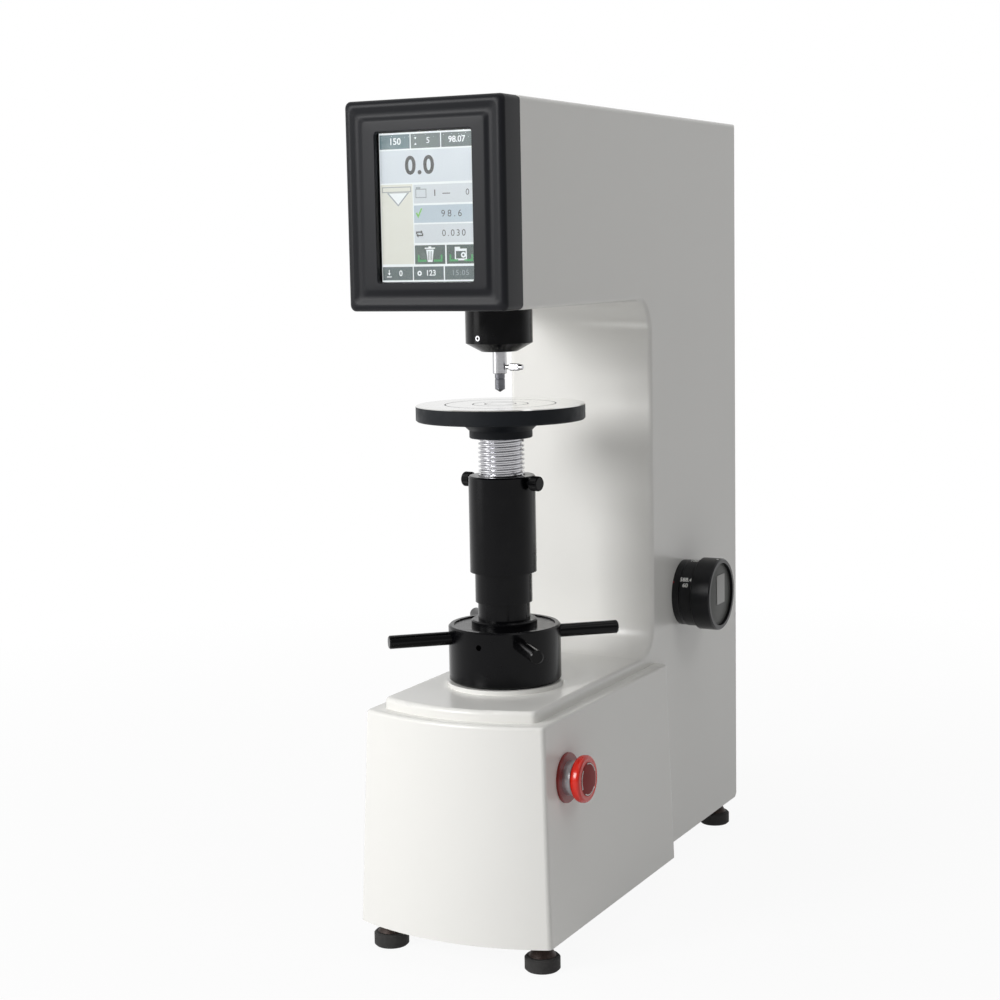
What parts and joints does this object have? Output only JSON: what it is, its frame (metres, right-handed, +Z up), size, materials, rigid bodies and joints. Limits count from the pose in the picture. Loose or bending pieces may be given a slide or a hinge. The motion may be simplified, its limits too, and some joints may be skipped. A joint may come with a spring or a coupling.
{
  "type": "hardness tester",
  "caption": "Bench hardness tester: C-shaped cast frame with touch screen, indenter, round table on a lead screw with capstan, load knob and stop button.",
  "frame": {"origin": "on the bench, under the middle of the whole outline; the test axis is 10.35 mm left of it and 135.74 mm ahead of it", "axes": "+X to the operator's right, +Y to the rear, +Z up; the screen faces -Y"},
  "size_m": [0.2072, 0.5314, 0.736],
  "materials": {
    "frame_paint": "smooth gloss enamel, warm white",
    "bezel_plastic": "satin charcoal moulding",
    "screen_glass": "clear flat cover glass",
    "display": "backlit panel",
    "circuit_board": "green solder mask",
    "bare_steel": "turned bright steel",
    "indenter_steel": "dark ground tool steel",
    "black_steel": "glossy black oxide",
    "table_steel": "ground top with a blackened rim",
    "cast_parts": "plain grey casting",
    "guide_bronze": "turned bronze bearing",
    "drive_housing": "plain sheet housing",
    "knob_plastic": "fine satin black",
    "stop_red": "glossy signal red",
    "stop_metal": "satin turned collar",
    "black_plastic": "moulded black",
    "foot_rubber": "moulded black rubber"
  },
  "bodies": {
    "frame": {"frame_casting": "frame_paint", "top_cover": "frame_paint", "rear_cover": "frame_paint", "cover_screws": "black_steel", "screen_bezel": "bezel_plastic", "screen_glass": "screen_glass", "display_module": "display", "control_board": "circuit_board", "spindle_nose": "black_steel", "spindle_guide": "guide_bronze", "screw_guide": "guide_bronze", "guide_key": "bare_steel", "thrust_bearing": "bare_steel", "load_motor": "drive_housing", "travel_sensor": "drive_housing", "pivot_block": "cast_parts", "selector_ring": "knob_plastic", "power_supply": "drive_housing", "mains_inlet": "black_plastic", "stop_ring": "stop_red", "stop_collar": "stop_metal", "stop_contacts": "black_plastic", "foot_nuts": "bare_steel", "foot_stud_1": "bare_steel", "foot_stud_2": "bare_steel", "foot_stud_3": "bare_steel", "foot_stud_4": "bare_steel"},
    "lift": {"elevating_screw": "bare_steel", "test_table": "table_steel"},
    "capstan": {"handwheel": "black_steel", "handle_1": "black_steel", "handle_2": "black_steel", "handle_3": "black_steel", "handle_4": "black_steel", "lower_sleeve": "black_steel"},
    "middle_cover": {"middle_sleeve": "black_steel"},
    "outer_cover": {"outer_sleeve": "black_steel"},
    "cover_screw_right": {"sleeve_screw_right": "black_steel"},
    "cover_screw_left": {"sleeve_screw_left": "black_steel"},
    "spindle": {"spindle": "bare_steel", "indenter": "indenter_steel", "preload_spring": "bare_steel"},
    "indenter_clamp": {"indenter_screw": "bare_steel"},
    "lever": {"main_lever": "cast_parts", "fulcrum_knife": "bare_steel"},
    "weights": {"weight_hanger": "bare_steel", "weight_1": "cast_parts", "weight_2": "cast_parts", "weight_3": "cast_parts"},
    "load_cam": {"load_cam": "bare_steel"},
    "selector": {"selector_dial": "knob_plastic", "selector_knob": "knob_plastic", "selector_shaft": "bare_steel"},
    "stop_plunger": {"stop_plunger": "bare_steel"},
    "stop_cap": {"stop_cap": "stop_red"},
    "power_switch": {"power_rocker": "black_plastic"},
    "foot_1": {"foot_pad_1": "foot_rubber"},
    "foot_2": {"foot_pad_2": "foot_rubber"},
    "foot_3": {"foot_pad_3": "foot_rubber"},
    "foot_4": {"foot_pad_4": "foot_rubber"}
  },
  "joints": [
    {"name": "capstan_turn", "type": "hinge", "parent": "frame", "child": "capstan", "pos_m": [-0.01035, -0.13574, 0.2705], "axis": [0, 0, -1], "range_deg": [-3510, 900]},
    {"name": "table_lift", "type": "slide", "parent": "frame", "child": "lift", "axis": [0, 0, 1], "range_m": [-0.039, 0.01]},
    {"name": "middle_cover_lift", "type": "slide", "parent": "frame", "child": "middle_cover", "axis": [0, 0, 1], "range_m": [-0.01482, 0.0038]},
    {"name": "outer_cover_slide", "type": "slide", "parent": "lift", "child": "outer_cover", "axis": [0, 0, 1], "range_m": [0, 0.033]},
    {"name": "cover_screw_right_turn", "type": "hinge", "parent": "outer_cover", "child": "cover_screw_right", "pos_m": [0.01895, -0.14091, 0.4087], "axis": [0.9848, -0.1736, 0], "range_deg": [-720, 0]},
    {"name": "cover_screw_left_turn", "type": "hinge", "parent": "outer_cover", "child": "cover_screw_left", "pos_m": [-0.03965, -0.13058, 0.4087], "axis": [-0.9848, 0.1736, 0], "range_deg": [-720, 0]},
    {"name": "spindle_travel", "type": "slide", "parent": "frame", "child": "spindle", "axis": [0, 0, 1], "range_m": [0, 0.001], "stiffness_N_per_m": 1500, "springref_m": -0.004, "deforming": ["preload_spring"]},
    {"name": "indenter_clamp_turn", "type": "hinge", "parent": "spindle", "child": "indenter_clamp", "pos_m": [-0.00415, -0.13574, 0.5102], "axis": [1, 0, 0], "range_deg": [-360, 0]},
    {"name": "weight_travel", "type": "slide", "parent": "frame", "child": "weights", "axis": [0, 0, 1], "range_m": [-0.0063, 0]},
    {"name": "lever_tilt", "type": "hinge", "parent": "frame", "child": "lever", "pos_m": [-0.01035, -0.15174, 0.67493], "axis": [1, 0, 0], "range_deg": [-1.2, 0]},
    {"name": "load_cam_turn", "type": "hinge", "parent": "frame", "child": "load_cam", "pos_m": [-0.01035, 0.19926, 0.6352], "axis": [1, 0, 0], "range_deg": [0, 170]},
    {"name": "selector_turn", "type": "hinge", "parent": "frame", "child": "selector", "pos_m": [0.06365, 0.11026, 0.273], "axis": [1, 0, 0], "range_deg": [0, 120]},
    {"name": "stop_press", "type": "slide", "parent": "frame", "child": "stop_plunger", "axis": [0.9993, 0, 0.0363], "range_m": [-0.005, 0]},
    {"name": "stop_twist", "type": "hinge", "parent": "stop_plunger", "child": "stop_cap", "pos_m": [0.07786, -0.19574, 0.1635], "axis": [0.9993, 0, 0.0363], "range_deg": [0, 45]},
    {"name": "power_switch_rock", "type": "hinge", "parent": "frame", "child": "power_switch", "pos_m": [0.02765, 0.25926, 0.1045], "axis": [1, 0, 0], "range_deg": [0, 20]},
    {"name": "foot_1_turn", "type": "hinge", "parent": "frame", "child": "foot_1", "pos_m": [0.06445, -0.22164, 0.03], "axis": [0, 0, 1], "continuous": true},
    {"name": "foot_2_turn", "type": "hinge", "parent": "frame", "child": "foot_2", "pos_m": [-0.08515, -0.22164, 0.03], "axis": [0, 0, 1], "continuous": true},
    {"name": "foot_3_turn", "type": "hinge", "parent": "frame", "child": "foot_3", "pos_m": [0.04565, 0.23826, 0.03], "axis": [0, 0, 1], "continuous": true},
    {"name": "foot_4_turn", "type": "hinge", "parent": "frame", "child": "foot_4", "pos_m": [-0.06635, 0.23826, 0.03], "axis": [0, 0, 1], "continuous": true}
  ],
  "couplings": [
    {"joint": "capstan_turn", "follows": "table_lift", "rad_per_m": 1570.8},
    {"joint": "middle_cover_lift", "follows": "table_lift", "ratio": 0.38},
    {"joint": "lever_tilt", "follows": "weight_travel", "rad_per_m": 3.3223},
    {"joint": "load_cam_turn", "follows": "weight_travel", "rad_per_m": -470.96}
  ]
}
